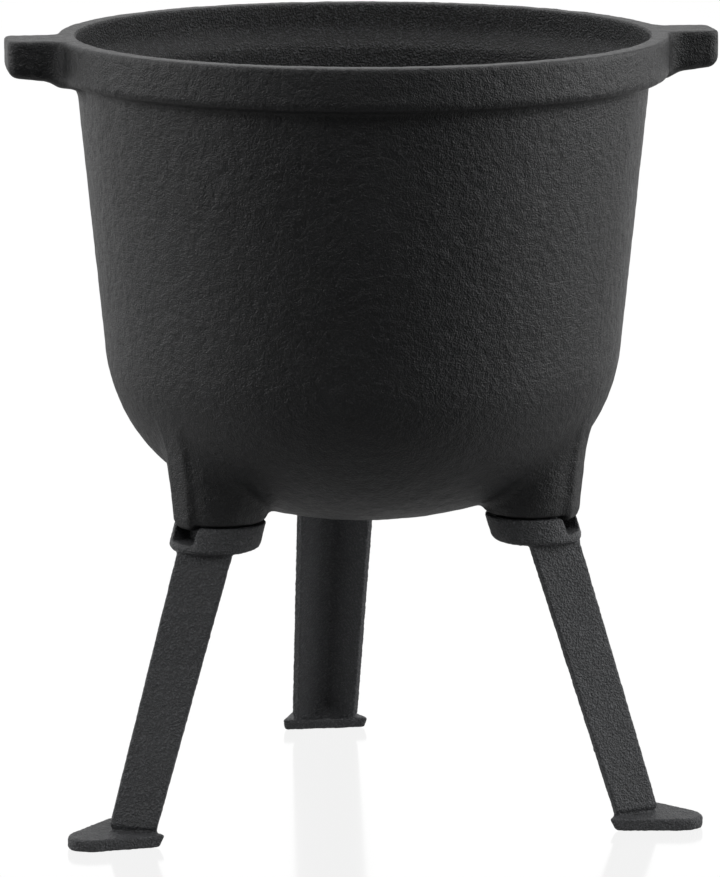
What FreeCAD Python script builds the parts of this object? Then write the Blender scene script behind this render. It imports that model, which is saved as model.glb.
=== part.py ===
import FreeCAD, Part
import math
import os
import Sketcher

# Coal forge: a cast iron fire pot on three bolted angle-section legs, with a lift-out fire grate.
# Frame: +Z up, origin on the pot's axis at floor level. The ears lie on X, the rear leg on +Y.

DIMENSIONS = {
    # pot: heights are above the floor
    "rim_top": 384.5,
    "collar_radius": 150.0,
    "collar_height": 21.2,
    "wall_top_radius": 140.7,
    "wall_top": 362.5,
    "corner_x": 42.4,
    "corner_z": 237.5,
    "corner_radius": 85.4,
    "base_radius": 218.2,
    "wall": 8.0,
    "mouth_radius": 141.0,
    "seat_radius": 140.3,
    "seat_z": 371.4,
    "shoulder_z": 363.2,
    "air_radius": 20.0,
    # ears
    "ear_reach": 175.5,
    "ear_half_width": 15.0,
    "ear_root_half_width": 24.0,
    "ear_root": 147.0,
    "ear_start": 143.0,
    "ear_flare": 11.0,
    "ear_tip_thickness": 18.0,
    "ear_thickness": 21.0,
    "ear_corner": 3.5,
    "rim_edge": 1.6,
    # bosses under the pot and what stands on them
    "boss_x": 88.5,
    "boss_base": 152.3,
    "boss_radius": 22.3,
    "boss_draft": 7.5,
    "boss_length": 58.0,
    "rib_width": 13.6,
    "rib_inner_x": 103.0,
    "rib_outer_x": 112.0,
    "rib_knee_x": 112.8,
    "rib_knee_z": 170.0,
    "rib_upper_x": 117.5,
    "rib_upper_z": 202.0,
    "tab_base": 149.3,
    "pad_radius": 14.0,
    "tapped_radius": 4.05,
    "tapped_top": 166.0,
    # leg
    "head_top": 151.5,
    "head_base": 138.5,
    "head_shift": 4.2,
    "head_edge": 2.0,
    "counterbore_radius": 10.5,
    "screw_seat": 147.7,
    "screw_hole_radius": 4.5,
    "notch_width": 17.2,
    "notch_floor": 143.2,
    "notch_inner_x": 101.0,
    "angle_lap": 3.6,
    "angle_top_x": 115.3,
    "angle_foot_x": 157.6,
    "angle_top_half_width": 20.2,
    "angle_foot_half_width": 17.3,
    "angle_thickness": 4.4,
    "angle_half_angle": 48.8,
    "foot_thickness": 6.0,
    "foot_heel_x": 141.6,
    "foot_inner_x": 138.6,
    "foot_inner_half_width": 22.0,
    "foot_tip_x": 178.5,
    "foot_tip_half_width": 7.5,
    "foot_corner": 5.0,
    "gusset_height": 8.5,
    "gusset_half_width": 12.0,
    "gusset_setback": 2.0,
    "gusset_root": 3.0,
    "gusset_top_depth": 9.0,
    "gusset_top_root": 5.5,
    "gusset_top_half_width": 0.6,
    # fasteners
    "bolt_radius": 4.0,
    "bolt_length": 20.0,
    "bolt_head_flats": 13.0,
    "bolt_head_height": 5.3,
    "washer_radius": 8.0,
    "washer_hole_radius": 4.2,
    "washer_thickness": 1.6,
    "spring_washer_radius": 7.4,
    "spring_washer_thickness": 2.2,
    "spring_washer_gap": 1.2,
    # fire grate
    "grate_base": 173.0,
    "grate_base_radius": 84.3,
    "grate_radius": 89.5,
    "grate_bevel_top": 177.2,
    "grate_top": 181.5,
    "grate_eye_radius": 8.0,
    "slot_inner_x": 30.0,
    "slot_outer_x": 74.0,
    "slot_half_width": 4.5,
    # how far one feature runs into its neighbour, and a cutting outline past the metal
    "lap": 1.0,
    "overrun": 5.0,
}

LEG_COUNT = 3
SLOT_COUNT = 10
POT_AZIMUTH = 90.0
LEG_AZIMUTHS = {"rear": 90.0, "left": 210.0, "right": 330.0}

doc = FreeCAD.newDocument("CoalForge")
sheet = doc.addObject("Spreadsheet::Sheet", "Dims")
for row, (alias, value) in enumerate(DIMENSIONS.items(), start=1):
    sheet.set(f"A{row}", alias)
    sheet.set(f"B{row}", str(value))
    sheet.setAlias(f"B{row}", alias)
doc.recompute()


def evaluate(formula):
    """Value of an expression in the sheet's aliases."""
    return float(sheet.evalExpression(in_sheet(formula)))


def in_sheet(formula):
    """Prefix every alias in a formula with the sheet's name."""
    words = []
    word = ""
    for letter in formula + " ":
        if letter.isalnum() or letter == "_":
            word += letter
            continue
        words.append("Dims." + word if word in DIMENSIONS else word)
        words.append(letter)
        word = ""
    return "".join(words).strip()


def bind(item, name, formula):
    """Tie one property of an object to the sheet."""
    item.setExpression(name, in_sheet(formula))


def new_body(label):
    body = doc.addObject("PartDesign::Body", label)
    body.Label = label
    return body


def origin_item(body, role):
    for item in body.Origin.OriginFeatures:
        if item.Role == role:
            return item
    raise ValueError(role)


def new_sketch(body, name, plane="XY_Plane", height=None):
    """Empty sketch on one of the body's own origin planes, lifted to a height in the sheet."""
    sketch = body.newObject("Sketcher::SketchObject", name)
    sketch.AttachmentSupport = [(origin_item(body, plane), "")]
    sketch.MapMode = "FlatFace"
    if height is not None:
        bind(sketch, "AttachmentOffset.Base.z", height)
    return sketch


def pin(sketch, geometry, point, x_formula, y_formula):
    """Fix a sketch point at coordinates worked out from the sheet."""
    for kind, formula in (("DistanceX", x_formula), ("DistanceY", y_formula)):
        value = evaluate(formula)
        index = sketch.addConstraint(Sketcher.Constraint(kind, -1, 1, geometry, point, value))
        if formula != "0":
            sketch.setExpression(f"Constraints[{index}]", in_sheet(formula))


def polygon(sketch, corners):
    """Closed outline with straight sides; every corner is a pair of formulas."""
    points = [FreeCAD.Vector(evaluate(x), evaluate(y), 0) for x, y in corners]
    count = len(points)
    lines = [sketch.addGeometry(Part.LineSegment(points[i], points[(i + 1) % count])) for i in range(count)]
    for i in range(count):
        sketch.addConstraint(Sketcher.Constraint("Coincident", lines[i], 2, lines[(i + 1) % count], 1))
    for line, (x, y) in zip(lines, corners):
        pin(sketch, line, 1, x, y)
    return lines


def circle(sketch, x_formula, radius_formula):
    """Circle with its centre on the sketch's X axis."""
    centre = FreeCAD.Vector(evaluate(x_formula), 0, 0)
    index = sketch.addGeometry(Part.Circle(centre, FreeCAD.Vector(0, 0, 1), evaluate(radius_formula)))
    radius = sketch.addConstraint(Sketcher.Constraint("Radius", index, evaluate(radius_formula)))
    sketch.setExpression(f"Constraints[{radius}]", in_sheet(radius_formula))
    pin(sketch, index, 3, x_formula, "0")
    return index


def obround(sketch, inner_formula, outer_formula, radius_formula):
    """Round-ended slot along the sketch's X axis, between two end centres."""
    inner = FreeCAD.Vector(evaluate(inner_formula), 0, 0)
    outer = FreeCAD.Vector(evaluate(outer_formula), 0, 0)
    half = evaluate(radius_formula)
    normal = FreeCAD.Vector(0, 0, 1)
    side = FreeCAD.Vector(0, half, 0)
    right_angle = math.pi / 2
    inner_circle = Part.Circle(inner, normal, half)
    outer_circle = Part.Circle(outer, normal, half)
    near = sketch.addGeometry(Part.ArcOfCircle(inner_circle, right_angle, 3 * right_angle))
    low = sketch.addGeometry(Part.LineSegment(inner - side, outer - side))
    far = sketch.addGeometry(Part.ArcOfCircle(outer_circle, -right_angle, right_angle))
    high = sketch.addGeometry(Part.LineSegment(outer + side, inner + side))
    for first, second in ((near, low), (low, far), (far, high), (high, near)):
        sketch.addConstraint(Sketcher.Constraint("Tangent", first, 2, second, 1))
    pin(sketch, near, 3, inner_formula, "0")
    pin(sketch, far, 3, outer_formula, "0")
    index = sketch.addConstraint(Sketcher.Constraint("Radius", near, half))
    sketch.setExpression(f"Constraints[{index}]", in_sheet(radius_formula))


def add_feature(body, kind, name, profile):
    feature = body.newObject(kind, name)
    feature.Profile = profile
    return feature


def pad(body, name, sketch, length, reverse=False, midplane=False):
    feature = add_feature(body, "PartDesign::Pad", name, sketch)
    bind(feature, "Length", length)
    feature.Reversed = reverse
    feature.Midplane = midplane
    return feature


def pocket(body, name, sketch, length, reverse=False, midplane=False):
    feature = add_feature(body, "PartDesign::Pocket", name, sketch)
    bind(feature, "Length", length)
    feature.Reversed = reverse
    feature.Midplane = midplane
    return feature


def around_axis(body, name, originals, count):
    """Copies of features spaced evenly around the body's Z axis."""
    pattern = body.newObject("PartDesign::PolarPattern", name)
    pattern.Originals = originals
    pattern.Axis = (origin_item(body, "Z_Axis"), [""])
    pattern.Angle = 360.0
    pattern.Occurrences = count
    body.Tip = pattern
    return pattern


def revolve(body, kind, name, sketch):
    feature = add_feature(body, kind, name, sketch)
    feature.ReferenceAxis = (sketch, ["V_Axis"])
    feature.Angle = 360.0
    return feature


def rounded(body, name, base, radius, wanted):
    """Fillet on the edges of a feature that pass a test."""
    doc.recompute()
    names = [f"Edge{i}" for i, edge in enumerate(base.Shape.Edges, start=1) if wanted(edge)]
    if not names:
        raise ValueError(f"{name}: no edge to round")
    fillet = body.newObject("PartDesign::Fillet", name)
    fillet.Base = (base, names)
    bind(fillet, "Radius", radius)
    return fillet


def upright(edge, reach):
    """True for a vertical edge at least this far out in X or Y."""
    box = edge.BoundBox
    vertical = max(box.XLength, box.YLength) < 0.01 and box.ZLength > 1
    return vertical and max(abs(box.XMin), abs(box.XMax), abs(box.YMin), abs(box.YMax)) > reach - 0.01


def rises_from_floor(edge):
    box = edge.BoundBox
    return abs(box.ZMin) < 0.01 and box.ZLength > 1


def level(edge, height):
    """True for an edge that lies flat at this height."""
    box = edge.BoundBox
    return box.ZLength < 0.01 and abs(box.ZMax - height) < 0.01


def span(edge):
    """The furthest that an edge reaches from the Z axis."""
    return max(math.hypot(vertex.X, vertex.Y) for vertex in edge.Vertexes)


def bowl_outline(sketch, start_x, start_z, corner_radius, base_radius, closing):
    """Half section of a round-bottomed bowl, as line, corner arc and base arc, tangent to each other.

    The closing corners run from the axis to the start of the wall line."""
    centre = FreeCAD.Vector(evaluate("corner_x"), evaluate("corner_z"), 0)
    small = evaluate(corner_radius)
    large = evaluate(base_radius)
    start = FreeCAD.Vector(evaluate(start_x), evaluate(start_z), 0)
    reach = start - centre
    swing = math.atan2(reach.y, reach.x) - math.acos(small / reach.Length)
    wall_end = centre + FreeCAD.Vector(math.cos(swing), math.sin(swing), 0) * small
    rise = math.sqrt((large - small) ** 2 - centre.x ** 2)
    base_centre = FreeCAD.Vector(0, centre.y + rise, 0)
    meet = math.atan2(-rise, centre.x)
    bottom = base_centre - FreeCAD.Vector(0, large, 0)
    normal = FreeCAD.Vector(0, 0, 1)
    wall = sketch.addGeometry(Part.LineSegment(start, wall_end))
    corner = sketch.addGeometry(Part.ArcOfCircle(Part.Circle(centre, normal, small), meet, swing))
    base = sketch.addGeometry(Part.ArcOfCircle(Part.Circle(base_centre, normal, large), -math.pi / 2, meet))
    previous, previous_end = base, 1
    points = [bottom] + [FreeCAD.Vector(evaluate(x), evaluate(z), 0) for x, z in closing] + [start]
    for first, second in zip(points[:-1], points[1:]):
        side = sketch.addGeometry(Part.LineSegment(first, second))
        sketch.addConstraint(Sketcher.Constraint("Coincident", previous, previous_end, side, 1))
        previous, previous_end = side, 2
    sketch.addConstraint(Sketcher.Constraint("Coincident", previous, 2, wall, 1))
    first_side = base + 1
    for offset, (x, z) in enumerate(closing):
        pin(sketch, first_side + offset, 2, x, z)
    pin(sketch, wall, 1, start_x, start_z)
    pin(sketch, corner, 3, "corner_x", "corner_z")
    sketch.addConstraint(Sketcher.Constraint("Tangent", wall, 2, corner, 2))
    sketch.addConstraint(Sketcher.Constraint("Tangent", corner, 1, base, 2))
    sketch.addConstraint(Sketcher.Constraint("PointOnObject", base, 3, -2))
    sketch.addConstraint(Sketcher.Constraint("PointOnObject", base, 1, -2))
    for arc, formula in ((corner, corner_radius), (base, base_radius)):
        index = sketch.addConstraint(Sketcher.Constraint("Radius", arc, evaluate(formula)))
        sketch.setExpression(f"Constraints[{index}]", in_sheet(formula))


def make_fire_pot():
    body = new_body("fire_pot")

    shell = new_sketch(body, "PotSection", "XZ_Plane")
    bowl_outline(shell, "wall_top_radius", "wall_top", "corner_radius", "base_radius", [
        ("0", "rim_top"),
        ("collar_radius", "rim_top"),
        ("collar_radius", "rim_top - collar_height"),
        ("wall_top_radius + lap", "rim_top - collar_height"),
    ])
    pot = revolve(body, "PartDesign::Revolution", "PotSolid", shell)
    body.Tip = pot

    plan = new_sketch(body, "EarPlan", "XY_Plane", "rim_top")
    polygon(plan, [
        ("-ear_root_half_width", "ear_start"),
        ("-ear_root_half_width", "ear_root"),
        ("-ear_half_width", "ear_root + ear_flare"),
        ("-ear_half_width", "ear_reach"),
        ("ear_half_width", "ear_reach"),
        ("ear_half_width", "ear_root + ear_flare"),
        ("ear_root_half_width", "ear_root"),
        ("ear_root_half_width", "ear_start"),
    ])
    ear = pad(body, "Ear", plan, "ear_thickness", reverse=True)
    under = new_sketch(body, "EarUnderside", "YZ_Plane")
    polygon(under, [
        ("collar_radius + lap", "rim_top - ear_thickness"),
        ("collar_radius + lap", "rim_top - ear_thickness - overrun"),
        ("ear_reach + overrun", "rim_top - ear_thickness - overrun"),
        ("ear_reach + overrun", "rim_top - ear_tip_thickness"),
        ("ear_reach", "rim_top - ear_tip_thickness"),
    ])
    slope = pocket(body, "EarSlope", under, "4 * ear_root_half_width", midplane=True)
    around_axis(body, "BothEars", [ear, slope], 2)

    ring = new_sketch(body, "BossCircle", "XY_Plane", "boss_base")
    circle(ring, "boss_x", "boss_radius")
    boss = pad(body, "Boss", ring, "boss_length")
    bind(boss, "TaperAngle", "boss_draft")
    side = new_sketch(body, "RibSection", "XZ_Plane")
    polygon(side, [
        ("rib_inner_x", "tab_base"),
        ("rib_outer_x", "tab_base"),
        ("rib_knee_x", "rib_knee_z"),
        ("rib_upper_x", "rib_upper_z"),
        ("rib_inner_x", "rib_upper_z"),
    ])
    rib = pad(body, "Rib", side, "rib_width", midplane=True)
    seat = new_sketch(body, "SeatCircle", "XY_Plane", "head_top")
    circle(seat, "boss_x", "pad_radius")
    raised = pad(body, "RaisedSeat", seat, "boss_base - head_top + lap")
    thread = new_sketch(body, "TappedHole", "XY_Plane", "head_top")
    circle(thread, "boss_x", "tapped_radius")
    tapped = pocket(body, "Tapped", thread, "tapped_top - head_top", reverse=True)
    around_axis(body, "ThreeMountings", [boss, rib, raised, tapped], LEG_COUNT)

    cavity = new_sketch(body, "CavitySection", "XZ_Plane")
    inside = ("wall_top_radius - wall", "shoulder_z", "corner_radius - wall", "base_radius - wall")
    bowl_outline(cavity, *inside, [
        ("0", "rim_top + overrun"),
        ("mouth_radius", "rim_top + overrun"),
        ("mouth_radius", "rim_top"),
        ("seat_radius", "seat_z"),
    ])
    hollow = revolve(body, "PartDesign::Groove", "Cavity", cavity)
    body.Tip = hollow

    hole = new_sketch(body, "AirHole", "XY_Plane")
    circle(hole, "0", "air_radius")
    air = pocket(body, "AirInlet", hole, "corner_z", reverse=True)
    body.Tip = air

    reach = evaluate("ear_reach")
    tips = rounded(body, "EarCorners", air, "ear_corner", lambda edge: upright(edge, reach))
    top = evaluate("rim_top")
    outer = evaluate("mouth_radius + lap")
    land = rounded(body, "RimEdge", tips, "rim_edge", lambda edge: level(edge, top) and span(edge) > outer)
    body.Tip = land
    body.Placement.Rotation = FreeCAD.Rotation(FreeCAD.Vector(0, 0, 1), POT_AZIMUTH)
    return body


def make_leg(name, azimuth):
    body = new_body(f"{name}_leg")

    upper = new_sketch(body, "HeadTop", "XY_Plane", "head_top")
    circle(upper, "boss_x", "boss_radius")
    waist = new_sketch(body, "HeadWaist", "XY_Plane", "head_base + head_edge")
    waist_share = "(head_top - head_base - head_edge) / (head_top - head_base)"
    circle(waist, f"boss_x + head_shift * {waist_share}", "boss_radius")
    lower = new_sketch(body, "HeadBase", "XY_Plane", "head_base")
    circle(lower, "boss_x + head_shift", "boss_radius - head_edge")
    head = add_feature(body, "PartDesign::AdditiveLoft", "Head", upper)
    head.Sections = [waist, lower]
    head.Ruled = True
    body.Tip = head

    lean = "(angle_foot_x - angle_top_x) / (head_base - foot_thickness)"
    sections = []
    for place, height, apex, half in (
        ("Upper", "head_base + angle_lap", f"(angle_top_x - angle_lap * {lean})", "angle_top_half_width"),
        ("Lower", "foot_thickness - lap", f"(angle_foot_x + lap * {lean})", "angle_foot_half_width"),
    ):
        section = new_sketch(body, f"Angle{place}", "XY_Plane", height)
        tip_x = f"{apex} - {half} / tan(angle_half_angle * 1 deg)"
        inner_x = f"{tip_x} - angle_thickness * sin(angle_half_angle * 1 deg)"
        inner_y = f"{half} - angle_thickness * cos(angle_half_angle * 1 deg)"
        polygon(section, [
            (apex, "0"),
            (tip_x, half),
            (inner_x, inner_y),
            (f"{apex} - angle_thickness / sin(angle_half_angle * 1 deg)", "0"),
            (inner_x, f"-({inner_y})"),
            (tip_x, f"-{half}"),
        ])
        sections.append(section)
    angle = add_feature(body, "PartDesign::AdditiveLoft", "Angle", sections[0])
    angle.Sections = [sections[1]]
    angle.Ruled = True

    plans = []
    for place, height, heel in (("Sole", "0", "foot_heel_x"), ("Instep", "foot_thickness", "foot_inner_x")):
        plan = new_sketch(body, f"Foot{place}", "XY_Plane", height)
        polygon(plan, [
            (heel, "-foot_inner_half_width"),
            ("foot_tip_x", "-foot_tip_half_width"),
            ("foot_tip_x", "foot_tip_half_width"),
            (heel, "foot_inner_half_width"),
        ])
        plans.append(plan)
    foot = add_feature(body, "PartDesign::AdditiveLoft", "Foot", plans[0])
    foot.Sections = [plans[1]]
    foot.Ruled = True
    rounded(body, "FootCorners", foot, "foot_corner", rises_from_floor)

    web = new_sketch(body, "GussetBase", "XY_Plane", "foot_thickness")
    polygon(web, [
        ("foot_inner_x + gusset_setback", "-gusset_half_width"),
        ("angle_foot_x - gusset_root", "0"),
        ("foot_inner_x + gusset_setback", "gusset_half_width"),
    ])
    ridge = new_sketch(body, "GussetTop", "XY_Plane", "foot_thickness + gusset_height")
    polygon(ridge, [
        ("angle_foot_x - gusset_top_depth", "-gusset_top_half_width"),
        ("angle_foot_x - gusset_top_root", "0"),
        ("angle_foot_x - gusset_top_depth", "gusset_top_half_width"),
    ])
    gusset = add_feature(body, "PartDesign::AdditiveLoft", "Gusset", web)
    gusset.Sections = [ridge]
    gusset.Ruled = True

    drill = new_sketch(body, "ScrewHole", "XY_Plane", "head_top")
    circle(drill, "boss_x", "screw_hole_radius")
    pocket(body, "Clearance", drill, "head_top - head_base + overrun")
    recess = new_sketch(body, "CounterboreCircle", "XY_Plane", "screw_seat")
    circle(recess, "boss_x", "counterbore_radius")
    pocket(body, "Counterbore", recess, "screw_seat - head_base + overrun")
    slot = new_sketch(body, "NotchPlan", "XY_Plane", "head_top")
    polygon(slot, [
        ("notch_inner_x", "-notch_width / 2"),
        ("angle_top_x + overrun", "-notch_width / 2"),
        ("angle_top_x + overrun", "notch_width / 2"),
        ("notch_inner_x", "notch_width / 2"),
    ])
    notch = pocket(body, "Notch", slot, "head_top - notch_floor")
    body.Tip = notch
    body.Placement.Rotation = FreeCAD.Rotation(FreeCAD.Vector(0, 0, 1), azimuth)
    return body


def make_bolt(name, azimuth):
    """Hexagon bolt, pointing up, with its axis on the leg's screw hole."""
    body = new_body(f"{name}_leg_bolt")
    seat = "screw_seat - washer_thickness - spring_washer_thickness"
    hexagon = new_sketch(body, "HeadPlan", "XY_Plane", seat)
    corner = "bolt_head_flats / sqrt(3)"
    polygon(hexagon, [
        (f"boss_x + {corner}", "0"),
        (f"boss_x + {corner} / 2", "bolt_head_flats / 2"),
        (f"boss_x - {corner} / 2", "bolt_head_flats / 2"),
        (f"boss_x - {corner}", "0"),
        (f"boss_x - {corner} / 2", "-bolt_head_flats / 2"),
        (f"boss_x + {corner} / 2", "-bolt_head_flats / 2"),
    ])
    head = pad(body, "HexHead", hexagon, "bolt_head_height", reverse=True)
    body.Tip = head
    ring = new_sketch(body, "ShankCircle", "XY_Plane", seat)
    circle(ring, "boss_x", "bolt_radius")
    pad(body, "Shank", ring, "bolt_length")
    body.Placement.Rotation = FreeCAD.Rotation(FreeCAD.Vector(0, 0, 1), azimuth)
    return body


def make_flat_washer(name, azimuth):
    body = new_body(f"{name}_leg_washer")
    ring = new_sketch(body, "WasherPlan", "XY_Plane", "screw_seat")
    circle(ring, "boss_x", "washer_radius")
    circle(ring, "boss_x", "washer_hole_radius")
    pad(body, "Washer", ring, "washer_thickness", reverse=True)
    body.Placement.Rotation = FreeCAD.Rotation(FreeCAD.Vector(0, 0, 1), azimuth)
    return body


def make_spring_washer(name, azimuth):
    """Split washer, pressed flat by its bolt; the split faces outward."""
    body = new_body(f"{name}_leg_spring_washer")
    ring = new_sketch(body, "WasherPlan", "XY_Plane", "screw_seat - washer_thickness")
    circle(ring, "boss_x", "spring_washer_radius")
    circle(ring, "boss_x", "washer_hole_radius")
    pad(body, "Washer", ring, "spring_washer_thickness", reverse=True)
    gap = new_sketch(body, "SplitPlan", "XY_Plane", "screw_seat - washer_thickness")
    polygon(gap, [
        ("boss_x", "-spring_washer_gap / 2"),
        ("boss_x + spring_washer_radius + overrun", "-spring_washer_gap / 2"),
        ("boss_x + spring_washer_radius + overrun", "spring_washer_gap / 2"),
        ("boss_x", "spring_washer_gap / 2"),
    ])
    split = pocket(body, "Split", gap, "spring_washer_thickness")
    body.Tip = split
    body.Placement.Rotation = FreeCAD.Rotation(FreeCAD.Vector(0, 0, 1), azimuth)
    return body


def make_grate():
    """Round cast grate with radial slots and a central eye for a lifting hook."""
    body = new_body("fire_grate")
    section = new_sketch(body, "GrateSection", "XZ_Plane")
    polygon(section, [
        ("grate_eye_radius", "grate_base"),
        ("grate_base_radius", "grate_base"),
        ("grate_radius", "grate_bevel_top"),
        ("grate_radius", "grate_top"),
        ("grate_eye_radius", "grate_top"),
    ])
    disc = revolve(body, "PartDesign::Revolution", "Disc", section)
    body.Tip = disc
    plan = new_sketch(body, "SlotPlan", "XY_Plane", "grate_base")
    obround(plan, "slot_inner_x", "slot_outer_x", "slot_half_width")
    slot = pocket(body, "Slot", plan, "grate_top - grate_base", reverse=True)
    around_axis(body, "Slots", [slot], SLOT_COUNT)
    return body


parts = [make_fire_pot(), make_grate()]
for leg_name, leg_azimuth in LEG_AZIMUTHS.items():
    parts.append(make_leg(leg_name, leg_azimuth))
    parts.append(make_bolt(leg_name, leg_azimuth))
    parts.append(make_flat_washer(leg_name, leg_azimuth))
    parts.append(make_spring_washer(leg_name, leg_azimuth))
doc.recompute()

for item in doc.Objects:
    if "Invalid" in item.State or "Error" in item.State:
        raise RuntimeError(f"{item.Label}: {item.State} {item.getStatusString()}")
for part in parts:
    if part.Shape.isNull() or not part.Shape.isValid() or len(part.Shape.Solids) != 1:
        raise RuntimeError(f"{part.Label}: bad shape")

os.makedirs("parts", exist_ok=True)
for part in parts:
    part.Shape.exportStep(f"parts/{part.Label}.step")
    box = part.Shape.optimalBoundingBox()
    print(f"{part.Label:28s} {part.Shape.Volume / 1000:9.2f} cm3  x {box.XMin:.1f}..{box.XMax:.1f}"
          f"  y {box.YMin:.1f}..{box.YMax:.1f}  z {box.ZMin:.1f}..{box.ZMax:.1f}")
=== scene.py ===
import math

import bpy
import numpy as np
from mathutils import Euler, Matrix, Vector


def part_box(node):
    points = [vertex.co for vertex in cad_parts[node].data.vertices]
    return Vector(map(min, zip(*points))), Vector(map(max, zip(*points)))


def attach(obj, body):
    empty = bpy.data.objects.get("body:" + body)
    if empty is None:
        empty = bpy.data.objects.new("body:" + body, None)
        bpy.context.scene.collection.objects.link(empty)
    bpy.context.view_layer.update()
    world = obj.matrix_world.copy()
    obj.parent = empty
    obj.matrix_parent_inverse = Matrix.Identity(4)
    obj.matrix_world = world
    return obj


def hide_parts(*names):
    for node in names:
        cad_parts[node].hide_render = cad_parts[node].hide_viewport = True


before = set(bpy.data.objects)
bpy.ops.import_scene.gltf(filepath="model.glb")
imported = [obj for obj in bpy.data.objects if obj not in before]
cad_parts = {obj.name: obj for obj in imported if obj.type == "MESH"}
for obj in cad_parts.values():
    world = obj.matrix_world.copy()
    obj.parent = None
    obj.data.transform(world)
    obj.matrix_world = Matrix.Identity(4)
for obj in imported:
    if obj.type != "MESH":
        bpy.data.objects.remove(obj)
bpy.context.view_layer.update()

# Cast iron coal forge: fire pot, three bolted legs and a lift-out grate.
# The castings are signed distance fields in millimetres, meshed in the CAD's own frame.

MM = 0.001
ROOT_BODY = "pot_and_legs"
GRATE_BODY = "grate"
LEG_AZIMUTHS = {"rear": 90.0, "left": 210.0, "right": 330.0}


def box_mm(node):
    """Lowest and highest corners of a CAD node, in millimetres."""
    low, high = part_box(node)
    return np.array(low) / MM, np.array(high) / MM


POT_LOW, POT_HIGH = box_mm("fire_pot")
LEG_HIGH = box_mm("rear_leg")[1]
GRATE_LOW, GRATE_HIGH = box_mm("fire_grate")

# pot
RIM_TOP = POT_HIGH[2]
COLLAR_RADIUS = POT_HIGH[1]
EAR_REACH = POT_HIGH[0]
COLLAR_BASE = RIM_TOP - 21.2
WALL = 8.0
CORNER_CENTRE = (42.4, RIM_TOP - 147.0)
CORNER_RADIUS = 85.4
BASE_RADIUS = 218.2
WALL_START = (140.7, RIM_TOP - 22.0)
MOUTH_RADIUS = 140.7
SHOULDER_LOW = (132.7, RIM_TOP - 21.3)
SHOULDER_HIGH = (140.3, RIM_TOP - 13.1)
AIR_RADIUS = 20.0
EAR_HALF_WIDTH = 15.0
EAR_TIP_THICKNESS = 18.0
EAR_SLOPE = 0.12
EAR_CORNER = 5.0
EAR_ROUND = 6.0
EAR_FILLET = 9.0
COLLAR_ROUND = 4.5
COLLAR_FILLET = 5.0
SEAT_ROUND = 2.0
SHOULDER_FILLET = 1.5
MOUTH_ROUND = 1.6
AIR_ROUND = 2.0
RIM_ROUND = 1.8
# mountings
BOSS_X = 88.5
BOSS_RADIUS = 22.3
HEAD_TOP = LEG_HIGH[2]
BOSS_BASE = HEAD_TOP + 0.8
BOSS_DRAFT = math.radians(7.5)
RIB_HALF_WIDTH = 6.8
TAB_BASE = BOSS_BASE - 3.0
RIB_FOOT = (112.0, TAB_BASE)
RIB_KNEE = (112.8, TAB_BASE + 20.7)
RIB_HEAD = (117.5, TAB_BASE + 52.7)
TAB_INNER_X = 103.0
SEAT_RADIUS = 14.0
TAPPED_RADIUS = 4.15
TAPPED_TOP = HEAD_TOP + 14.5
BOSS_FILLET = 5.0
BOSS_ROUND = 2.4
KNEE_FILLET = 3.0
RIB_ROUND = 2.5
RIB_INNER_ROUND = 2.0
RIB_FILLET = 4.0
TAB_ROUND = 5.0
TAB_TOP_ROUND = 1.0
# how far the tab and the seat run up inside the boss
MOUNTING_LAP = 4.0
# leg
HEAD_BASE = HEAD_TOP - 13.0
LEAN = 42.3 / 132.5
SCREW_SEAT = HEAD_TOP - 3.8
COUNTERBORE_RADIUS = 10.5
SCREW_HOLE_RADIUS = 4.5
NOTCH_INNER_X = 101.0
NOTCH_FLOOR = HEAD_TOP - 8.3
NOTCH_HALF_WIDTH = 8.7
ANGLE_TOP_X = 115.3
ANGLE_HALF = math.radians(48.8)
ANGLE_THICKNESS = 4.4
ANGLE_TOP_HALF_WIDTH = 20.5
ANGLE_NARROWING = 2.9 / 132.5
FOOT_THICKNESS = 6.0
FOOT_HEEL_X = 141.6
FOOT_HEEL_SLOPE = 0.5
FOOT_HALF_WIDTH = 22.0
FOOT_TIP_X = LEG_HIGH[1]
FOOT_TIP_HALF_WIDTH = 7.5
GROOVE_DEPTH = 1.3
GROOVE_HEIGHT = 1.4
GUSSET_START_X = 140.6
GUSSET_SLOPE = 1.0625
HEAD_BOTTOM_ROUND = 3.6
HEAD_TOP_ROUND = 1.4
# a leaning field changes faster than distance does, so it is scaled down
HEAD_FIELD_SCALE = 0.97
ANGLE_FIELD_SCALE = 0.96
# squares of the widths over which the ridge and the valley are rounded
RIDGE_ROUND_SQUARED = 0.5
VALLEY_ROUND_SQUARED = 5.0
ANGLE_EDGE_ROUND = 1.6
ANGLE_END_ROUND = 1.0
ANGLE_OVERRUN = 3.0
ANGLE_BASE = 2.0
GROOVE_RISE = 0.6
FOOT_TIP_ROUND = 9.0
FOOT_TIP_BULGE = 1.2
FOOT_TIP_CURVE = 0.15
FOOT_HEEL_ROUND = 3.0
FOOT_TOP_ROUND = 1.4
FOOT_BOTTOM_ROUND = 1.2
GUSSET_LAP = 1.0
GUSSET_BASE = 4.0
GUSSET_FILLET = 2.2
LEG_HEAD_FILLET = 1.2
LEG_FOOT_FILLET = 0.8
COUNTERBORE_SEAT_ROUND = 1.2
COUNTERBORE_EDGE_ROUND = 1.6
NOTCH_DRAFT = 0.08
NOTCH_FLOOR_ROUND = 1.6
NOTCH_INNER_ROUND = 1.0
NOTCH_EDGE_ROUND = 1.2
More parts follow.
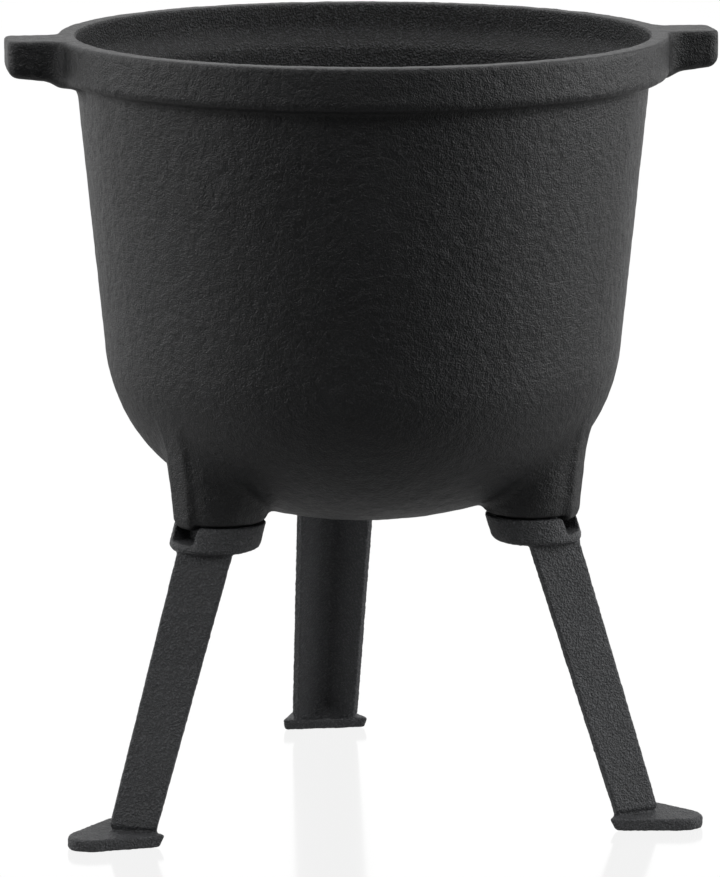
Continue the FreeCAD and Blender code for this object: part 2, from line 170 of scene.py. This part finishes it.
# grate
GRATE_RADIUS = GRATE_HIGH[0]
GRATE_SLOTS = 10
SLOT_INNER = 30.0
SLOT_OUTER = 74.0
SLOT_HALF_WIDTH = 4.5
EYE_RADIUS = 8.0
GRATE_BEVEL_HEIGHT = 4.2
GRATE_BEVEL_SLOPE = 1.24
GRATE_RIM_ROUND = 2.0
GRATE_TOP_ROUND = 2.4
GRATE_BOTTOM_ROUND = 1.6
SLOT_DRAFT = 0.05
SLOT_ROUND = 2.6
EYE_ROUND = 2.0
# relief of each casting: height, wavelength and seed of each layer
RELIEF_WAVES = 40
POT_RELIEF = [(0.05, 14.0, 11), (0.035, 6.0, 12)]
LEG_RELIEF = [(0.04, 9.0, 21), (0.05, 2.6, 22)]
GRATE_RELIEF = [(0.06, 11.0, 31), (0.05, 4.0, 32)]


# ---- distance fields ------------------------------------------------------------------

def join(a, b, soft):
    """Union of two fields, with the corner between them filled over a width."""
    h = np.maximum(soft - np.abs(a - b), 0.0) / soft
    return np.minimum(a, b) - h * h * soft / 4


def meet(a, b, soft):
    """Intersection of two fields, with the edge between them rounded off."""
    return -join(-a, -b, soft)


def fold(x, y, count, start):
    """Turns every point into the sector of the nearest of count evenly spaced directions."""
    r = np.hypot(x, y)
    step = 2 * math.pi / count
    angle = np.arctan2(y, x) - math.radians(start)
    angle = angle - step * np.round(angle / step)
    return r * np.cos(angle), r * np.sin(angle)


def side_of(u, z, start, end):
    """Distance to the line through two points, positive on its right as it rises."""
    du = end[0] - start[0]
    dz = end[1] - start[1]
    return ((u - start[0]) * dz - (z - start[1]) * du) / math.hypot(du, dz)


def bowl_wall_angle():
    """Direction, from the corner arc's centre, of the wall line's tangent point."""
    reach_r = WALL_START[0] - CORNER_CENTRE[0]
    reach_z = WALL_START[1] - CORNER_CENTRE[1]
    return math.atan2(reach_z, reach_r) - math.acos(CORNER_RADIUS / math.hypot(reach_r, reach_z))


def bowl_field(r, z):
    """Distance to the bowl's outer surface: wall line, corner arc and base arc."""
    wall = bowl_wall_angle()
    rise = math.sqrt((BASE_RADIUS - CORNER_RADIUS) ** 2 - CORNER_CENTRE[0] ** 2)
    vr = r - CORNER_CENTRE[0]
    vz = z - CORNER_CENTRE[1]
    field = np.hypot(vr, vz) - CORNER_RADIUS
    on_base = vr * rise + vz * CORNER_CENTRE[0] < 0
    base = np.hypot(r, vz - rise) - BASE_RADIUS
    field = np.where(on_base & (vz < 0), base, field)
    on_wall = vz * math.cos(wall) - vr * math.sin(wall) > 0
    return np.where(on_wall, vr * math.cos(wall) + vz * math.sin(wall) - CORNER_RADIUS, field)


def cavity_field(r, z, bowl):
    """The space inside the pot: the bowl less its wall, and the wider seat in the mouth."""
    dr = SHOULDER_HIGH[0] - SHOULDER_LOW[0]
    dz = SHOULDER_HIGH[1] - SHOULDER_LOW[1]
    span = math.hypot(dr, dz)
    shoulder = ((r - SHOULDER_LOW[0]) * dz - (z - SHOULDER_LOW[1]) * dr) / span
    seat = meet(r - MOUTH_RADIUS, shoulder, SEAT_ROUND)
    return join(bowl + WALL, seat, SHOULDER_FILLET)


def ear_field(x, y, z):
    """Both ears as one bar across the pot, thicker towards the pot."""
    qx = np.abs(x) - (EAR_REACH - EAR_CORNER)
    qy = np.abs(y) - (EAR_HALF_WIDTH - EAR_CORNER)
    outside = np.hypot(np.maximum(qx, 0), np.maximum(qy, 0))
    plan = outside + np.minimum(np.maximum(qx, qy), 0) - EAR_CORNER
    underside = RIM_TOP - EAR_TIP_THICKNESS - EAR_SLOPE * (EAR_REACH - np.abs(x)) - z
    return meet(plan, underside, EAR_ROUND)


def pot_field(x, y, z):
    r = np.hypot(x, y)
    bowl = bowl_field(r, z)
    collar = meet(r - COLLAR_RADIUS, COLLAR_BASE - z, COLLAR_ROUND)
    body = join(bowl, collar, COLLAR_FILLET)
    body = join(body, ear_field(x, y, z), EAR_FILLET)

    u, v = fold(x, y, 3, 90.0)
    rho = np.hypot(u - BOSS_X, v)
    boss = (rho - BOSS_RADIUS - (z - BOSS_BASE) * math.tan(BOSS_DRAFT)) * math.cos(BOSS_DRAFT)
    back = join(side_of(u, z, RIB_FOOT, RIB_KNEE), side_of(u, z, RIB_KNEE, RIB_HEAD), KNEE_FILLET)
    rib = meet(back, np.abs(v) - RIB_HALF_WIDTH, RIB_ROUND)
    rib = np.maximum(meet(rib, TAB_INNER_X - u, RIB_INNER_ROUND), z - RIB_HEAD[1])
    blend = join(join(body, boss, BOSS_FILLET), rib, RIB_FILLET)
    blend = meet(blend, BOSS_BASE - z, BOSS_ROUND)
    body = np.minimum(body, blend)
    tab = meet(meet(rib, TAB_BASE - z, TAB_ROUND), z - BOSS_BASE - MOUNTING_LAP, TAB_TOP_ROUND)
    seat = np.maximum(np.maximum(rho - SEAT_RADIUS, HEAD_TOP - z), z - BOSS_BASE - MOUNTING_LAP)
    body = np.minimum(np.minimum(body, tab), seat)
    body = np.maximum(body, -np.maximum(rho - TAPPED_RADIUS, z - TAPPED_TOP))

    body = meet(body, -cavity_field(r, z, bowl), MOUTH_ROUND)
    body = meet(body, AIR_RADIUS - r, AIR_ROUND)
    return meet(body, z - RIM_TOP, RIM_ROUND)


def leg_field(x, y, z):
    """One leg, leaning out along +X."""
    drop = HEAD_BASE - z
    side = np.sqrt(y * y + RIDGE_ROUND_SQUARED)
    rho = np.hypot(x - BOSS_X - (HEAD_TOP - z) * LEAN, y)
    head = meet((rho - BOSS_RADIUS) * HEAD_FIELD_SCALE, drop, HEAD_BOTTOM_ROUND)
    head = meet(head, z - HEAD_TOP, HEAD_TOP_ROUND)

    sine = math.sin(ANGLE_HALF)
    cosine = math.cos(ANGLE_HALF)
    apex = ANGLE_TOP_X + drop * LEAN
    half_width = ANGLE_TOP_HALF_WIDTH - drop * ANGLE_NARROWING
    outer = (x - apex) * sine + side * cosine
    groove = np.exp(-(((z - FOOT_THICKNESS) / GROOVE_HEIGHT - GROOVE_RISE) ** 2))
    outer = outer + GROOVE_DEPTH * groove
    soft_side = np.sqrt(y * y + VALLEY_ROUND_SQUARED)
    inner = (x - apex) * sine + soft_side * cosine + ANGLE_THICKNESS
    end = side * sine - (x - apex) * cosine - half_width / sine
    angle = meet(meet(outer, -inner, ANGLE_EDGE_ROUND), end, ANGLE_END_ROUND) * ANGLE_FIELD_SCALE
    angle = np.maximum(np.maximum(angle, -drop - ANGLE_OVERRUN), ANGLE_BASE - z)

    heel = FOOT_HEEL_X - z * FOOT_HEEL_SLOPE - x
    run = FOOT_TIP_X - FOOT_HEEL_X
    narrowing = FOOT_HALF_WIDTH - FOOT_TIP_HALF_WIDTH
    flank = (x - FOOT_HEEL_X) * narrowing + (np.abs(y) - FOOT_HALF_WIDTH) * run
    flank = flank / math.hypot(run, narrowing)
    tip = x - FOOT_TIP_X - FOOT_TIP_BULGE + FOOT_TIP_CURVE * (z - FOOT_THICKNESS / 2) ** 2 / 3
    plan = meet(meet(flank, tip, FOOT_TIP_ROUND), heel, FOOT_HEEL_ROUND)
    foot = meet(meet(plan, z - FOOT_THICKNESS, FOOT_TOP_ROUND), -z, FOOT_BOTTOM_ROUND)

    ramp = (z - FOOT_THICKNESS - (x - GUSSET_START_X) * GUSSET_SLOPE) / math.hypot(1.0, GUSSET_SLOPE)
    gusset = np.maximum(np.maximum(ramp, outer + ANGLE_THICKNESS - GUSSET_LAP), GUSSET_BASE - z)

    body = join(join(head, angle, LEG_HEAD_FILLET), gusset, GUSSET_FILLET)
    body = join(body, foot, LEG_FOOT_FILLET)
    body = np.maximum(body, -z)
    rho_screw = np.hypot(x - BOSS_X, y)
    counterbore = meet(rho_screw - COUNTERBORE_RADIUS, z - SCREW_SEAT, COUNTERBORE_SEAT_ROUND)
    body = meet(body, -counterbore, COUNTERBORE_EDGE_ROUND)
    body = np.maximum(body, SCREW_HOLE_RADIUS - rho_screw)
    notch_side = np.abs(y) - NOTCH_HALF_WIDTH - (z - HEAD_TOP) * NOTCH_DRAFT
    notch = meet(notch_side, NOTCH_FLOOR - z, NOTCH_FLOOR_ROUND)
    notch = meet(notch, NOTCH_INNER_X - x, NOTCH_INNER_ROUND)
    return meet(body, -notch, NOTCH_EDGE_ROUND)


def grate_field(x, y, z):
    r = np.hypot(x, y)
    bevel = r - GRATE_RADIUS + (GRATE_LOW[2] + GRATE_BEVEL_HEIGHT - z) * GRATE_BEVEL_SLOPE
    bevel = bevel / math.hypot(1.0, GRATE_BEVEL_SLOPE)
    rim = meet(bevel, r - GRATE_RADIUS, GRATE_RIM_ROUND)
    disc = meet(rim, z - GRATE_HIGH[2], GRATE_TOP_ROUND)
    disc = meet(disc, GRATE_LOW[2] - z, GRATE_BOTTOM_ROUND)
    u, v = fold(x, y, GRATE_SLOTS, 0.0)
    along = np.maximum(np.maximum(SLOT_INNER - u, u - SLOT_OUTER), 0)
    widening = (GRATE_HIGH[2] - z) * SLOT_DRAFT
    slots = np.hypot(along, v) - SLOT_HALF_WIDTH - widening
    disc = meet(disc, -slots, SLOT_ROUND)
    return meet(disc, EYE_RADIUS - r, EYE_ROUND)


# ---- meshing --------------------------------------------------------------------------

def sample_field(field, low, high, cell):
    """Field values on a grid of points, worked out one layer at a time."""
    axes = [np.arange(low[i], high[i] + cell, cell) for i in range(3)]
    values = np.empty([len(a) for a in axes], dtype=np.float32)
    grid_x, grid_y = np.meshgrid(axes[0], axes[1], indexing="ij")
    for k, level in enumerate(axes[2]):
        values[:, :, k] = field(grid_x, grid_y, np.full_like(grid_x, level))
    return values


def surface_net(values, low, cell):
    """One vertex in each cell that the surface crosses, and one quad across each edge it cuts."""
    inside = values < 0
    shape = np.array(values.shape) - 1
    corners = [(i, j, k) for i in (0, 1) for j in (0, 1) for k in (0, 1)]
    count = np.zeros(shape, dtype=np.int8)
    for i, j, k in corners:
        count += inside[i:i + shape[0], j:j + shape[1], k:k + shape[2]]
    cells = np.argwhere((count > 0) & (count < 8))
    number = np.full(shape, -1, dtype=np.int64)
    number[tuple(cells.T)] = np.arange(len(cells))

    total = np.zeros((len(cells), 3))
    hits = np.zeros(len(cells))
    for a in corners:
        for axis in range(3):
            if a[axis]:
                continue
            b = list(a)
            b[axis] = 1
            va = values[tuple((cells + a).T)].astype(float)
            vb = values[tuple((cells + b).T)].astype(float)
            cut = (va < 0) != (vb < 0)
            part = np.where(cut, va / np.where(cut, va - vb, 1.0), 0.0)
            place = np.array(a, dtype=float)[None, :].repeat(len(cells), 0)
            place[:, axis] = part
            total += place * cut[:, None]
            hits += cut
    points = low + (cells + total / hits[:, None]) * cell

    quads = []
    for axis in range(3):
        others = [(axis + 1) % 3, (axis + 2) % 3]
        first = np.take(inside, range(0, inside.shape[axis] - 1), axis)
        second = np.take(inside, range(1, inside.shape[axis]), axis)
        for outward in (True, False):
            edges = np.argwhere((first != second) & (first == outward))
            keep = np.all([(edges[:, o] > 0) & (edges[:, o] < shape[o]) for o in others], 0)
            edges = edges[keep]
            ring = []
            for da, db in ((1, 1), (0, 1), (0, 0), (1, 0)):
                cell_at = edges.copy()
                cell_at[:, others[0]] -= da
                cell_at[:, others[1]] -= db
                ring.append(number[tuple(cell_at.T)])
            quad = np.stack(ring, 1)
            quads.append(quad if outward else quad[:, ::-1])
    return points, np.concatenate(quads)


def slope_of(field, points, step):
    """Gradient of a field at each point."""
    slopes = np.empty_like(points)
    for axis in range(3):
        ahead = points.copy()
        behind = points.copy()
        ahead[:, axis] += step
        behind[:, axis] -= step
        slopes[:, axis] = (field(*ahead.T) - field(*behind.T)) / (2 * step)
    return slopes


def settle(field, points, cell):
    """Moves points onto the exact surface and returns them with the outward directions there."""
    for _ in range(3):
        slopes = slope_of(field, points, 0.15)
        steep = np.maximum((slopes ** 2).sum(1), 0.2)
        move = np.clip(field(*points.T) / steep, -cell / 2, cell / 2)
        points = points - slopes * move[:, None]
    slopes = slope_of(field, points, 0.3)
    return points, slopes / np.maximum(np.linalg.norm(slopes, axis=1), 1e-6)[:, None]


def ripple(points, wavelength, waves, seed):
    """Smooth random relief with about unit size, from many plane waves of like length."""
    rng = np.random.default_rng(seed)
    directions = rng.normal(size=(waves, 3))
    directions /= np.linalg.norm(directions, axis=1)[:, None]
    lengths = wavelength * rng.uniform(0.7, 1.4, size=waves)
    phases = rng.uniform(0, 2 * math.pi, size=waves)
    total = np.zeros(len(points))
    for direction, length, phase in zip(directions, lengths, phases):
        total += np.cos(points @ direction * (2 * math.pi / length) + phase)
    return total / math.sqrt(waves / 2)


def make_piece(name, points, quads, material):
    mesh = bpy.data.meshes.new(name)
    mesh.vertices.add(len(points))
    mesh.vertices.foreach_set("co", (points * MM).astype(np.float32).ravel())
    mesh.loops.add(quads.size)
    mesh.loops.foreach_set("vertex_index", quads.astype(np.int32).ravel())
    mesh.polygons.add(len(quads))
    mesh.polygons.foreach_set("loop_start", np.arange(0, quads.size, 4, dtype=np.int32))
    mesh.polygons.foreach_set("use_smooth", np.ones(len(quads), dtype=bool))
    mesh.update(calc_edges=True)
    mesh.validate()
    mesh.materials.append(material)
    piece = bpy.data.objects.new(name, mesh)
    bpy.context.scene.collection.objects.link(piece)
    return piece


def cast(field, low, high, cell, relief):
    """Meshes a field and lays the casting's relief on it."""
    margin = 2 * cell
    start = np.array(low, dtype=float) - margin
    values = sample_field(field, start, np.array(high) + margin, cell)
    points, quads = surface_net(values, start, cell)
    points, outward = settle(field, points, cell)
    height = sum(size * ripple(points, length, RELIEF_WAVES, seed) for size, length, seed in relief)
    return points + outward * height[:, None], quads


def paint_bore(piece, material):
    """Gives the faces that look at the pot's axis the rougher skin of the inside."""
    mesh = piece.data
    mesh.materials.append(material)
    centres = np.empty(len(mesh.polygons) * 3, dtype=np.float32)
    normals = np.empty_like(centres)
    mesh.polygons.foreach_get("center", centres)
    mesh.polygons.foreach_get("normal", normals)
    centres = centres.reshape(-1, 3)
    normals = normals.reshape(-1, 3)
    inward = (centres[:, :2] * normals[:, :2]).sum(1) < -0.3 * np.hypot(centres[:, 0], centres[:, 1])
    upward = (normals[:, 2] > 0.3) & (centres[:, 2] < (RIM_TOP - 6.0) * MM)
    mesh.polygons.foreach_set("material_index", (inward | upward).astype(np.int32))


def turned(points, azimuth):
    angle = math.radians(azimuth)
    x, y, z = points.T
    turned_x = x * math.cos(angle) - y * math.sin(angle)
    turned_y = x * math.sin(angle) + y * math.cos(angle)
    return np.stack([turned_x, turned_y, z], 1)


# ---- materials ------------------------------------------------------------------------

def new_material(name):
    material = bpy.data.materials.new(name)
    material.use_nodes = True
    nodes = material.node_tree.nodes
    shader = nodes["Principled BSDF"]
    return material, nodes, material.node_tree.links, shader


def noise_node(nodes, links, vector, scale, detail, roughness=0.55):
    node = nodes.new("ShaderNodeTexNoise")
    node.inputs["Scale"].default_value = scale
    node.inputs["Detail"].default_value = detail
    node.inputs["Roughness"].default_value = roughness
    links.new(vector, node.inputs["Vector"])
    return node


def ramp_node(nodes, links, source, stops):
    node = nodes.new("ShaderNodeValToRGB")
    ramp = node.color_ramp
    while len(ramp.elements) < len(stops):
        ramp.elements.new(0.5)
    for element, (place, value) in zip(ramp.elements, stops):
        element.position = place
        colour = value if isinstance(value, tuple) else (value, value, value)
        element.color = (*colour, 1.0)
    links.new(source, node.inputs["Fac"])
    return node


def bump_node(nodes, links, height, distance, strength, normal=None):
    node = nodes.new("ShaderNodeBump")
    node.inputs["Distance"].default_value = distance
    node.inputs["Strength"].default_value = strength
    links.new(height, node.inputs["Height"])
    if normal is not None:
        links.new(normal, node.inputs["Normal"])
    return node


def grey(level):
    """Black iron's own slightly cold grey."""
    return (level * 0.97, level, level * 1.06)


def cast_iron(name, dark, light, speck, rough_low, rough_high, grain_scale, grain_depth, skin_depth):
    """Black cast iron: sandy grain with paler specks, a broader skin, and small changes of gloss."""
    material, nodes, links, shader = new_material(name)
    place = nodes.new("ShaderNodeTexCoord").outputs["Object"]
    grain = noise_node(nodes, links, place, grain_scale, 2.0, 0.5)
    skin = noise_node(nodes, links, place, grain_scale / 5, 4.0, 0.6)
    cloud = noise_node(nodes, links, place, 14.0, 4.0, 0.6)
    tone = ramp_node(nodes, links, cloud.outputs["Fac"], [(0.3, grey(dark)), (0.7, grey(light))])
    specks = ramp_node(nodes, links, grain.outputs["Fac"], [(0.5, 0.0), (0.72, grey(speck))])
    total = nodes.new("ShaderNodeVectorMath")
    links.new(tone.outputs["Color"], total.inputs[0])
    links.new(specks.outputs["Color"], total.inputs[1])
    gloss = ramp_node(nodes, links, skin.outputs["Fac"], [(0.3, rough_low), (0.7, rough_high)])
    links.new(total.outputs["Vector"], shader.inputs["Base Color"])
    links.new(gloss.outputs["Color"], shader.inputs["Roughness"])
    broad = bump_node(nodes, links, skin.outputs["Fac"], skin_depth, 1.0)
    fine = bump_node(nodes, links, grain.outputs["Fac"], grain_depth, 1.0, broad.outputs["Normal"])
    links.new(fine.outputs["Normal"], shader.inputs["Normal"])
    return material


def steel(name, colour, roughness, scale):
    material, nodes, links, shader = new_material(name)
    place = nodes.new("ShaderNodeTexCoord").outputs["Object"]
    wear = noise_node(nodes, links, place, scale, 5.0)
    dim = tuple(c * 0.6 for c in colour)
    tone = ramp_node(nodes, links, wear.outputs["Fac"], [(0.35, dim), (0.65, colour)])
    gloss = ramp_node(nodes, links, wear.outputs["Fac"], [(0.3, roughness), (0.7, roughness + 0.2)])
    links.new(tone.outputs["Color"], shader.inputs["Base Color"])
    links.new(gloss.outputs["Color"], shader.inputs["Roughness"])
    scratch = bump_node(nodes, links, wear.outputs["Fac"], 0.00005, 1.0)
    links.new(scratch.outputs["Normal"], shader.inputs["Normal"])
    shader.inputs["Metallic"].default_value = 1.0
    return material


# ---- the pieces -----------------------------------------------------------------------

POT_CELL = 1.4
LEG_CELL = 0.6
GRATE_CELL = 1.0

pot_iron = cast_iron("pot_iron", 0.010, 0.017, 0.02, 0.36, 0.5, 1300.0, 0.0005, 0.0009)
bore_iron = cast_iron("bore_iron", 0.006, 0.011, 0.07, 0.42, 0.6, 1000.0, 0.002, 0.0005)
leg_iron = cast_iron("leg_iron", 0.045, 0.06, 0.06, 0.4, 0.55, 1000.0, 0.0014, 0.0005)
grate_iron = cast_iron("grate_iron", 0.02, 0.035, 0.06, 0.5, 0.7, 700.0, 0.0012, 0.0006)
bolt_steel = steel("bolt_steel", (0.06, 0.06, 0.065), 0.35, 400.0)
washer_steel = steel("washer_steel", (0.5, 0.5, 0.52), 0.35, 500.0)

pot_points, pot_quads = cast(pot_field, POT_LOW, POT_HIGH, POT_CELL, POT_RELIEF)
pot = make_piece("fire_pot_casting", pot_points, pot_quads, pot_iron)
paint_bore(pot, bore_iron)
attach(pot, ROOT_BODY)
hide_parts("fire_pot")

leg_low = (BOSS_X - BOSS_RADIUS, -BOSS_RADIUS, 0.0)
leg_high = (FOOT_TIP_X + 1, BOSS_RADIUS, HEAD_TOP)
leg_points, leg_quads = cast(leg_field, leg_low, leg_high, LEG_CELL, LEG_RELIEF)
for leg_name, leg_azimuth in LEG_AZIMUTHS.items():
    leg = make_piece(f"{leg_name}_leg_casting", turned(leg_points, leg_azimuth), leg_quads, leg_iron)
    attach(leg, ROOT_BODY)
    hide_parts(f"{leg_name}_leg")

grate_points, grate_quads = cast(grate_field, GRATE_LOW, GRATE_HIGH, GRATE_CELL, GRATE_RELIEF)
grate = make_piece("fire_grate_casting", grate_points, grate_quads, grate_iron)
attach(grate, GRATE_BODY)
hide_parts("fire_grate")

for node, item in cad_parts.items():
    if node.endswith("_bolt"):
        finish = bolt_steel
    elif node.endswith("washer"):
        finish = washer_steel
    else:
        continue
    for socket in item.material_slots:
        socket.material = finish

# ---- camera, floor and light ----------------------------------------------------------

CAMERA_AZIMUTH = math.radians(-8.15)
CAMERA_DISTANCE = 2.684
CAMERA_HEIGHT = 0.683
CAMERA_PITCH = math.radians(10.57)
CAMERA_LENS = 225.4

camera_data = bpy.data.cameras.new("camera")
camera_data.sensor_width = 36.0
camera_data.sensor_fit = "AUTO"
camera_data.lens = CAMERA_LENS
camera_data.shift_x = -3 / 877
camera_data.clip_end = 50
camera = bpy.data.objects.new("camera", camera_data)
camera.location = (
    math.sin(CAMERA_AZIMUTH) * CAMERA_DISTANCE,
    -math.cos(CAMERA_AZIMUTH) * CAMERA_DISTANCE,
    CAMERA_HEIGHT,
)
camera.rotation_euler = Euler((math.pi / 2 - CAMERA_PITCH, 0.0, CAMERA_AZIMUTH))
bpy.context.scene.collection.objects.link(camera)
bpy.context.scene.camera = camera
bpy.context.scene.view_settings.view_transform = "Standard"

TABLE_BACK = 5.0
TABLE_SHEEN = 0.2
TABLE_ROUGHNESS = 0.12
TABLE_SEEN_STRENGTH = 1.1
TABLE_LIGHT_STRENGTH = 0.3
ROOM_DIM = 0.03
ROOM_BRIGHT = 1.0


def white_table_top():
    """White, bright by itself for the camera, with a soft sheen that mirrors the feet."""
    material, nodes, links, shader = new_material("floor_white")
    nodes.remove(shader)
    glow = nodes.new("ShaderNodeEmission")
    strength = nodes.new("ShaderNodeMapRange")
    strength.inputs["To Min"].default_value = TABLE_LIGHT_STRENGTH
    strength.inputs["To Max"].default_value = TABLE_SEEN_STRENGTH
    links.new(nodes.new("ShaderNodeLightPath").outputs["Is Camera Ray"], strength.inputs["Value"])
    links.new(strength.outputs["Result"], glow.inputs["Strength"])
    sheen = nodes.new("ShaderNodeBsdfGlossy")
    sheen.inputs["Roughness"].default_value = TABLE_ROUGHNESS
    mix = nodes.new("ShaderNodeMixShader")
    mix.inputs["Fac"].default_value = TABLE_SHEEN
    links.new(glow.outputs["Emission"], mix.inputs[1])
    links.new(sheen.outputs["BSDF"], mix.inputs[2])
    links.new(mix.outputs["Shader"], nodes["Material Output"].inputs["Surface"])
    return material


def make_table(name, material, half_width, front, height):
    """Flat sheet just under the feet, so that the cast relief never cuts through it."""
    corners = [(-half_width, front), (half_width, front), (half_width, TABLE_BACK), (-half_width, TABLE_BACK)]
    mesh = bpy.data.meshes.new(name)
    mesh.from_pydata([(x, y, height) for x, y in corners], [], [(0, 1, 2, 3)])
    mesh.materials.append(material)
    table = bpy.data.objects.new(name, mesh)
    bpy.context.scene.collection.objects.link(table)
    return table


def soft_box(name, place, target, size, power):
    data = bpy.data.lights.new(name, "AREA")
    data.shape = "RECTANGLE"
    data.size, data.size_y = size
    data.energy = power
    lamp = bpy.data.objects.new(name, data)
    lamp.location = place
    aim = np.array(target) - np.array(place)
    lamp.rotation_euler = Euler((
        math.acos(-aim[2] / np.linalg.norm(aim)),
        0.0,
        math.atan2(aim[1], aim[0]) - math.pi / 2,
    ))
    bpy.context.scene.collection.objects.link(lamp)


table_top = white_table_top()
# The wide sheet is what the camera sees; the narrow one lights the iron from below.
seen_table = make_table("table", table_top, 0.9, -0.9, -0.0004)
seen_table.visible_diffuse = False
seen_table.visible_glossy = False
glow_table = make_table("table_glow", table_top, 0.5, -0.25, -0.0005)
glow_table.visible_camera = False
MIDDLE = (0.0, 0.0, 0.22)
soft_box("left_box", (-1.4, 0.1, 0.7), MIDDLE, (2.0, 1.4), 14.0)
soft_box("right_box", (1.4, -0.2, 0.7), MIDDLE, (2.0, 1.4), 20.0)
soft_box("front_box", (-0.2, -1.6, 1.7), MIDDLE, (1.2, 1.2), 8.0)
soft_box("top_box", (0.0, 0.35, 1.7), MIDDLE, (1.4, 1.2), 15.0)


def make_world():
    """White for the camera; for the iron, bright behind the pot and dim in front of it."""
    world = bpy.data.worlds.new("studio")
    world.use_nodes = True
    nodes = world.node_tree.nodes
    links = world.node_tree.links
    seen = nodes["Background"]
    seen.inputs["Color"].default_value = (1.0, 1.0, 1.0, 1.0)
    direction = nodes.new("ShaderNodeSeparateXYZ")
    links.new(nodes.new("ShaderNodeTexCoord").outputs["Generated"], direction.inputs[0])
    room = nodes.new("ShaderNodeMapRange")
    room.inputs["From Min"].default_value = 0.3
    room.inputs["From Max"].default_value = 0.95
    room.inputs["To Min"].default_value = ROOM_DIM
    room.inputs["To Max"].default_value = ROOM_BRIGHT
    links.new(direction.outputs["Y"], room.inputs["Value"])
    dim = nodes.new("ShaderNodeBackground")
    links.new(room.outputs["Result"], dim.inputs["Strength"])
    path = nodes.new("ShaderNodeLightPath")
    mix = nodes.new("ShaderNodeMixShader")
    links.new(path.outputs["Is Camera Ray"], mix.inputs["Fac"])
    links.new(dim.outputs["Background"], mix.inputs[1])
    links.new(seen.outputs["Background"], mix.inputs[2])
    links.new(mix.outputs["Shader"], nodes["World Output"].inputs["Surface"])
    bpy.context.scene.world = world


make_world()
